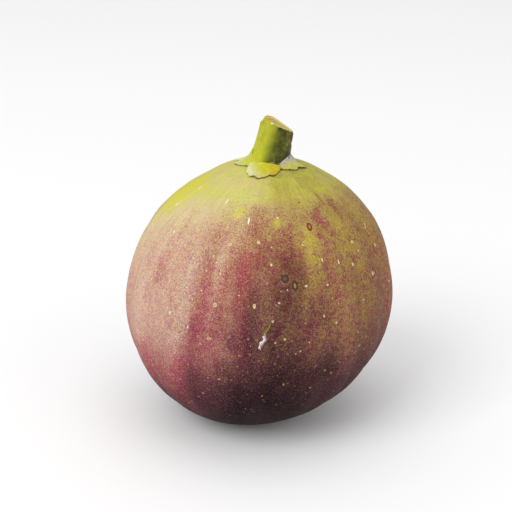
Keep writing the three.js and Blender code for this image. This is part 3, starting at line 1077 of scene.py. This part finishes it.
FRESH_YELLOW = colour(190, 184, 28)
FRESH_GREEN = colour(184, 190, 80)
DULL_YELLOW = colour(186, 182, 78)
PALE_MEMBRANE = colour(216, 218, 170)
GREY_MEMBRANE = colour(186, 180, 172)
BRACT_FINISHES = [
    # place, fleshy, papery, across, along, start, rim start, greying, ochre
    ("front", FRESH_YELLOW, PALE_MEMBRANE, -0.9, 0.9, 0.2, -0.2, 0.2, 0.4),
    ("right", DULL_YELLOW, GREY_MEMBRANE, 0.3, -1.5, -1.1, -0.6, 0.8, 0.1),
    ("left", FRESH_GREEN, PALE_MEMBRANE, -0.3, 0.9, 0.1, 0.9, 0.2, 0.0),
]
for bract_place, *finish in BRACT_FINISHES:
    dress(bracts[bract_place], bract_material(bract_place + "_bract", *finish))

# %% [markdown]
# ## The eye
#
# Underneath, the fig closes its only opening with small overlapping scales, like the petals of a
# tight bud. One scale is modelled from a ball, flattened and drawn to a point. It is then copied
# around the eye in three rings, each copy with its own mesh, and the rings are joined.

# %% Model one scale and copy it round
SCALE_LENGTH = 0.95 * MM
SCALE_WIDTH = 0.80 * MM
SCALE_THICKNESS = 0.15 * MM

def placed_copy(template, place):
    """A copy of the template with its own mesh, moved by a matrix."""
    made = template.copy()
    made.data = template.data.copy()
    bpy.context.collection.objects.link(made)
    made.data.transform(place)
    return made

eye_low, eye_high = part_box("eye_scales")
bpy.ops.mesh.primitive_uv_sphere_add(segments=14, ring_count=9, radius=1.0)
first_scale = bpy.context.object
stretch(first_scale, (SCALE_LENGTH, SCALE_WIDTH, SCALE_THICKNESS))
points = points_of(first_scale)
outward_share = points[:, 0] / SCALE_LENGTH
points[:, 1] *= 1 - 0.45 * np.clip(-outward_share, 0, 1) ** 1.5
points[:, 2] += 0.12 * MM * (points[:, 1] / SCALE_WIDTH) ** 2
set_points(first_scale, points)

EYE_RINGS = [
    # scales, distance from the middle, height over the flat, tilt, size
    (8, 1.45, 0.52, 14, 1.0),
    (7, 1.00, 0.78, 20, 0.9),
    (5, 0.52, 0.98, 30, 0.72),
]
scales = []
scatter = random.Random(12)
for count, distance, height, tilt, size in EYE_RINGS:
    for step in range(count):
        turn_angle = 2 * math.pi * (step + 0.5 * (count % 2)) / count + scatter.uniform(-0.08, 0.08)
        place = (
            Matrix.Translation((EYE_PLACE.x, EYE_PLACE.y, height * MM))
            @ Matrix.Rotation(turn_angle, 4, "Z")
            @ Matrix.Translation((distance * MM, 0, 0))
            @ Matrix.Rotation(math.radians(tilt + scatter.uniform(-4, 4)), 4, "Y")
            @ Matrix.Scale(size, 4)
        )
        scales.append(placed_copy(first_scale, place))
bpy.data.objects.remove(first_scale)
eye = joined(scales, "fig_eye_scales")
subdivided(eye, 1)
smooth(eye)
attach(eye, "root")
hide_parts("eye_scales")
print("the eye has", len(scales), "scales")


# %% Eye scale material
def eye_material():
    shader = Shader("eye_scales")
    place = shader.place()
    tone = shader.noise(place, 900.0, 3.0, 0.6)
    grain = shader.noise(place, 4200.0, 2.0, 0.6)
    body = shader.ramp(
        tone,
        (0.30, colour(70, 36, 34)),
        (0.50, colour(128, 76, 52)),
        (0.72, colour(186, 142, 92)),
    )
    normal = shader.bump(grain * 0.6 + tone * 0.4, 0.5, 0.0002)
    return shader.finish(Base_Color=body, Roughness=0.6, Normal=normal, Specular_IOR_Level=0.3)


dress(eye, eye_material())

# %% [markdown]
# ## Corky spots
#
# The skin breathes through lenticels, little corky spots that stand out pale on the dark skin. Most
# are specks and a few have grown wide, with a raised cream rim and an ochre middle. A low dome is
# modelled for the grown ones, and one with fewer faces for the specks, which are many. Each copy is
# turned to the skin under it and stretched along the meridian. The long chalky ones are old scuffs.

# %% Find places on the finished skin
def on_skin(azimuth, polar):
    """The point and the normal of the skin at a place on the globe."""
    a = math.radians(azimuth)
    p = math.radians(polar)
    direction = Vector((math.sin(p) * math.sin(a), -math.sin(p) * math.cos(a), math.cos(p)))
    height = CORE_HEIGHT + direction.z * body_size.z / 2
    start = Vector((float(axis_x(height)), 0, CORE_HEIGHT)) + direction * 60 * MM
    place, normal, _, _ = skin_tree.ray_cast(start, -direction)
    return place, normal


def lay_on(azimuth, polar, twist=0.0):
    """A matrix that puts X across, Y down the meridian and Z out of the skin at a place."""
    place, normal = on_skin(azimuth, polar)
    down = Vector((0, 0, -1)) - normal * normal.dot(Vector((0, 0, -1)))
    down.normalize()
    across = down.cross(normal)
    turn = Matrix((across, down, normal)).transposed().to_4x4()
    return Matrix.Translation(place) @ turn @ Matrix.Rotation(math.radians(twist), 4, "Z")


# %% Model one large and one small spot
def first_spot(sides, rings):
    """A low dome with a shallow dip in its top."""
    bpy.ops.mesh.primitive_uv_sphere_add(segments=sides, ring_count=rings, radius=1.0)
    spot = bpy.context.object
    stretch(spot, (1, 1, 0.34))
    points = points_of(spot)
    reach = np.hypot(points[:, 0], points[:, 1])
    points[:, 2] -= np.where(points[:, 2] > 0, 0.22 * np.exp(-(reach / 0.45) ** 2), 0)
    set_points(spot, points)
    return spot


large_spot = first_spot(10, 8)
small_spot = first_spot(8, 5)
print("a small spot has", len(small_spot.data.polygons), "faces")


def add_spot(template, azimuth, polar, width, length, height, chalky=0.0):
    reach = np.hypot(*points_of(template)[:, :2].T)
    scale = Matrix.Diagonal((width * MM, length * MM, height * MM, 1))
    spot = placed_copy(template, lay_on(azimuth, polar) @ scale)
    same = np.ones(len(reach))
    note_on(spot, "spot", [reach, same * width, same * chalky])
    return spot


# %% Scatter the small ones and set the grown ones one by one
GROWN_SPOTS = [
    # azimuth, polar, half width, half length in mm
    (-3.3, 47.3, 0.28, 0.34), (-18, 49, 0.34, 0.28), (-25.3, 54.3, 0.18, 0.16), (-34.5, 57, 0.16, 0.15),
    (-38.5, 59.5, 0.14, 0.14), (-27, 60.5, 0.14, 0.2), (-19.4, 60.8, 0.16, 0.18),
    (-34, 68.6, 0.17, 0.15), (-27.3, 68.6, 0.18, 0.18), (-54.8, 67, 0.17, 0.15),
    (-55.5, 71, 0.16, 0.16), (-50.5, 73.6, 0.15, 0.15), (-46, 73, 0.14, 0.16), (-31, 73, 0.14, 0.2),
    (-10, 68.5, 0.12, 0.14), (-19.5, 73.2, 0.36, 0.4), (-3, 72.5, 0.26, 0.42), (-20.8, 87.4, 0.42, 0.3),
    (-43, 91, 0.18, 0.16), (-50.3, 97.2, 0.28, 0.2), (-41.3, 103.2, 0.34, 0.34),
    (-31, 102.2, 0.24, 0.22), (-16.2, 105.9, 0.34, 0.2), (-24.5, 116, 0.26, 0.22),
    (-49.5, 114.4, 0.24, 0.16), (-57, 93, 0.24, 0.14), (-33.8, 126, 0.22, 0.2), (3.6, 49.3, 0.12, 0.12),
    (20, 49.3, 0.14, 0.14), (3.6, 56.3, 0.18, 0.24), (28.7, 56.7, 0.16, 0.34), (45.6, 61.8, 0.3, 0.32),
    (50, 53.3, 0.28, 0.28), (56.6, 69, 0.28, 0.38), (29.3, 66.7, 0.2, 0.18), (19.4, 65.7, 0.22, 0.18),
    (7.3, 71.4, 0.22, 0.16), (4.8, 78.9, 0.24, 0.24), (26.4, 78.8, 0.22, 0.2), (48.2, 77.5, 0.22, 0.16),
    (10, 86.5, 0.22, 0.22), (6.3, 88, 0.16, 0.16), (20.5, 89.2, 0.14, 0.18), (17, 92.7, 0.18, 0.18),
    (15, 93.7, 0.14, 0.14), (32.6, 83, 0.22, 0.26), (44.3, 90.2, 0.18, 0.22), (46.8, 97.6, 0.32, 0.22),
    (29.2, 103.8, 0.22, 0.18), (33.5, 106.8, 0.26, 0.18), (11.3, 108, 0.18, 0.24),
    (24.4, 112.3, 0.2, 0.2), (2.8, 114.5, 0.15, 0.16), (44.5, 110.7, 0.2, 0.16), (68, 60, 0.16, 0.3),
    (72, 78, 0.18, 0.3), (100, 70, 0.3, 0.3), (128, 96, 0.26, 0.36), (158, 64, 0.3, 0.3),
    (-170, 88, 0.34, 0.3), (-142, 66, 0.22, 0.34), (-112, 98, 0.26, 0.32), (-96, 60, 0.2, 0.36),
    (176, 116, 0.24, 0.24), (84, 104, 0.22, 0.28),
]
PALE_STREAKS = [
    # azimuth, polar, half width, half length in mm
    (-33, 30.4, 0.13, 0.62), (-11, 38.2, 0.16, 0.72), (-74, 41, 0.14, 0.5), (-72, 30, 0.1, 0.5),
    (37, 59, 0.09, 0.4), (7.5, 36.7, 0.16, 0.12), (118, 44, 0.12, 0.7), (-150, 46, 0.12, 0.6),
    (-55, 50, 0.15, 0.28), (-40, 80.5, 0.14, 0.28), (-31.6, 85, 0.12, 0.24),
]
GROWN_HEIGHT = 0.2
SPECK_HEIGHT = 0.12
SPOT_COUNT = 330
spots = [add_spot(large_spot, *place, GROWN_HEIGHT) for place in GROWN_SPOTS]
spots += [add_spot(large_spot, *place, GROWN_HEIGHT, chalky=1.0) for place in PALE_STREAKS]
scatter = random.Random(41)
while len(spots) < SPOT_COUNT:
    level = math.degrees(math.acos(scatter.uniform(-0.86, 0.80)))
    width = 0.05 + 0.07 * scatter.random() ** 2
    length = width * scatter.uniform(1.0, 1.9)
    place_azimuth = scatter.uniform(-180, 180)
    spots.append(add_spot(small_spot, place_azimuth, level, width, length, SPECK_HEIGHT))
bpy.data.objects.remove(large_spot)
bpy.data.objects.remove(small_spot)
lenticels = joined(spots, "fig_lenticels")
smooth(lenticels)
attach(lenticels, "root")
print("lenticels:", len(spots), "spots,", len(lenticels.data.polygons), "faces")


# %% Spot material
def spot_material():
    shader = Shader("corky_spots")
    place = shader.place()
    reach, width, chalky = shader.parts(shader.noted("spot"))
    grain = shader.noise(place, 3000.0, 2.0, 0.6)
    low = shader.parts(place)[2].below(0.012, 0.036)
    rim_tone = shader.mix(low, colour(222, 212, 172), colour(132, 106, 66))
    body = shader.mix(grain.above(0.35, 0.65) * 0.4, rim_tone, colour(190, 150, 100))
    middle = reach.below(0.35, 0.8) * width.above(0.16, 0.3)
    core = shader.mix(grain, colour(150, 112, 40), colour(206, 172, 84))
    body = shader.layers(
        body,
        (middle * 0.85, shader.mix(low, core, colour(136, 112, 46))),
        (chalky * 0.9, colour(238, 232, 210)),
    )
    return shader.finish(Base_Color=body, Roughness=0.7, Specular_IOR_Level=0.2,
                         Normal=shader.bump(grain, 0.3, 0.0001))


dress(lenticels, spot_material())

# %% [markdown]
# ## Scars
#
# Insects and rubbing leaves left a few marks: two dark rings on the front, a rust-red oval nearer
# the stalk, and a pale healed crack where the skin once split. A ring is a torus laid on the skin
# with a low dome inside. The crack is a narrow grid pulled along its path, with raised ragged lips.

# %% Rings and small dark marks
bpy.ops.mesh.primitive_torus_add(major_segments=28, minor_segments=10,
                                 major_radius=0.72, minor_radius=0.34)
first_ring = bpy.context.object
stretch(first_ring, (1, 1, 0.5))
bpy.ops.mesh.primitive_uv_sphere_add(segments=20, ring_count=10, radius=0.74)
first_dome = bpy.context.object
stretch(first_dome, (1, 1, 0.16))


def add_scar(template, azimuth, polar, width, length, height, rim, rust, twist=0.0):
    """Rim is 1 on a dark ring and 0 in its middle. Rust is 1 for a red-brown scar."""
    scale = Matrix.Diagonal((width * MM, length * MM, height * MM, 1))
    scar = placed_copy(template, lay_on(azimuth, polar, twist) @ scale)
    same = np.ones(len(scar.data.vertices))
    note_on(scar, "scar", [rim * same, rust * same, 0 * same])
    return scar


scars = [
    add_scar(first_ring, 9.8, 62.0, 0.60, 0.62, 0.30, 1.0, 0.0),
    add_scar(first_dome, 9.8, 62.0, 0.50, 0.52, 0.90, 0.8, 0.0),
    add_scar(first_ring, 14.2, 65.0, 0.52, 0.80, 0.36, 1.0, 0.0, twist=4),
    add_scar(first_dome, 14.2, 65.0, 0.34, 0.62, 1.60, 0.0, 0.0, twist=4),
    add_scar(first_ring, 26.5, 42.3, 0.44, 0.74, 0.30, 1.0, 1.0, twist=-6),
    add_scar(first_dome, 26.5, 42.3, 0.26, 0.56, 1.30, 0.0, 1.0, twist=-6),
    add_scar(first_dome, 25.8, 30.5, 0.26, 0.14, 0.30, 1.0, 0.3),
    add_scar(first_dome, 34.6, 77.0, 0.18, 0.18, 0.30, 1.0, 0.4),
]
bpy.data.objects.remove(first_ring)
bpy.data.objects.remove(first_dome)
print("scars:", len(scars), "rings and marks")

# %% Pull a grid along the crack
CRACK_PATH = [
    # azimuth, polar, half width in mm
    (4.4, 79.0, 0.05), (3.8, 80.6, 0.15), (3.1, 82.0, 0.24), (2.1, 83.6, 0.30), (1.9, 85.0, 0.36),
    (2.3, 86.2, 0.42), (1.3, 87.6, 0.46), (0.4, 88.8, 0.46), (0.2, 89.9, 0.32), (0.6, 90.7, 0.08),
]
CRACK_STEPS = 48
bpy.ops.mesh.primitive_grid_add(x_subdivisions=10, y_subdivisions=CRACK_STEPS, size=2)
crack = bpy.context.object
crack.name = "fig_crack"
crack_points = points_of(crack)
crack_notes = []
stations = np.linspace(0, 1, len(CRACK_PATH))
path_azimuth, path_polar, path_width = zip(*CRACK_PATH)
for point in crack_points:
    across = point[0]
    along = (point[1] + 1) / 2
    place, normal = on_skin(np.interp(along, stations, path_azimuth), np.interp(along, stations, path_polar))
    ragged = 1 + 0.7 * noise.noise(Vector((7 * along, math.copysign(3, across), 0)))
    ragged += 0.7 * noise.noise(Vector((24 * along, math.copysign(3, across), 4)))
    offset = across * np.interp(along, stations, path_width) * ragged * MM
    sideways = Vector((0, 0, -1)).cross(normal).normalized()
    lips = 0.20 * math.exp(-((abs(across) - 0.55) / 0.28) ** 2) - 0.14 * (abs(across) > 0.95)
    fibres = 0.10 * noise.noise(Vector((4 * across, 14 * along, 5)))
    point[:] = place + sideways * offset + normal * (0.04 + lips + fibres * (abs(across) < 0.9)) * MM
    crack_notes.append((across, along, 0))
set_points(crack, crack_points)
note_on(crack, "crack", list(zip(*crack_notes)))
smooth(crack)
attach(crack, "root")
scar_marks = joined(scars, "fig_scars")
smooth(scar_marks)
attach(scar_marks, "root")


# %% Scar and crack materials
def scar_material():
    shader = Shader("scars")
    rim, rust, _ = shader.parts(shader.noted("scar"))
    grain = shader.noise(shader.place(), 2600.0, 3.0, 0.6)
    dark_ring = shader.mix(grain, colour(54, 40, 38), colour(84, 66, 56))
    red_ring = shader.mix(grain, colour(104, 42, 30), colour(142, 72, 44))
    ochre = shader.mix(grain, colour(124, 88, 40), colour(184, 140, 76))
    orange = shader.mix(grain, colour(170, 96, 54), colour(196, 132, 78))
    ring_tone = shader.mix(rust, dark_ring, red_ring)
    middle_tone = shader.mix(rust, ochre, orange)
    body = shader.mix(rim, middle_tone, ring_tone)
    return shader.finish(Base_Color=body, Roughness=0.7, Specular_IOR_Level=0.15,
                         Normal=shader.bump(grain, 0.4, 0.00015))


def crack_material():
    shader = Shader("healed_crack")
    across, along, _ = shader.parts(shader.noted("crack"))
    fibres = shader.noise(shader.stretched(shader.noted("crack"), (2.0, 7.0, 0.0)), 1.5, 1.5, 0.5)
    pale = shader.mix(fibres.above(0.32, 0.56), colour(128, 104, 92), colour(238, 240, 240))
    green = shader.mix(fibres.above(0.3, 0.7), colour(120, 120, 50), colour(176, 178, 84))
    body = shader.mix(along.above(0.3, 0.5), green, pale)
    body = shader.layers(
        body,
        # Painted shadow: a red-brown band down the right side of the crack.
        ((fibres * 0.6 - across).above(0.3, 0.7) * 0.9, colour(104, 52, 44)),
        ((across * across).above(0.72, 0.98) * 0.7, colour(110, 82, 70)),
    )
    return shader.finish(Base_Color=body, Roughness=0.65, Specular_IOR_Level=0.2,
                         Normal=shader.bump(fibres, 0.5, 0.0002))


dress(scar_marks, scar_material())
dress(crack, crack_material())

# %% [markdown]
# ## Floor and light
#
# The fig stands on a plain pale floor under soft studio light: a large key from the upper left, a
# weak fill from the right and an even white surround, so that the ribs show without hard shadows.

# %% Floor, surround and lamps
bpy.ops.mesh.primitive_plane_add(size=3, location=(0, 0, cad_low.z))
floor = bpy.context.object
floor.name = "floor"
floor_shader = Shader("pale_floor")
dress(floor, floor_shader.finish(Base_Color=colour(250, 250, 250), Roughness=0.9, Specular_IOR_Level=0.1))

SURROUND_LIGHT = 0.68
world = bpy.data.worlds.new("studio")
world.use_nodes = True
world.node_tree.nodes["Background"].inputs["Color"].default_value = (1, 1, 1, 1)
world.node_tree.nodes["Background"].inputs["Strength"].default_value = SURROUND_LIGHT
bpy.context.scene.world = world


LAMP_DISTANCE = 1.2
LAMPS = [
    # name, azimuth, elevation, size in metres, watts
    ("key", -42, 42, 0.7, 6.0),
    ("fill", 55, 25, 0.8, 1.0),
    ("top", 10, 82, 1.0, 2.4),
]
for name, azimuth, elevation, size, watts in LAMPS:
    a = math.radians(azimuth)
    e = math.radians(elevation)
    back = Vector((math.sin(a) * math.cos(e), -math.cos(a) * math.cos(e), math.sin(e)))
    rotation = back.to_track_quat("Z", "Y").to_euler()
    bpy.ops.object.light_add(type="AREA", location=fig_centre + back * LAMP_DISTANCE, rotation=rotation)
    lamp = bpy.context.object
    lamp.name = name
    lamp.data.size = size
    lamp.data.energy = watts
print("lamps:", len(LAMPS))
bpy.context.scene.view_settings.view_transform = "Standard"
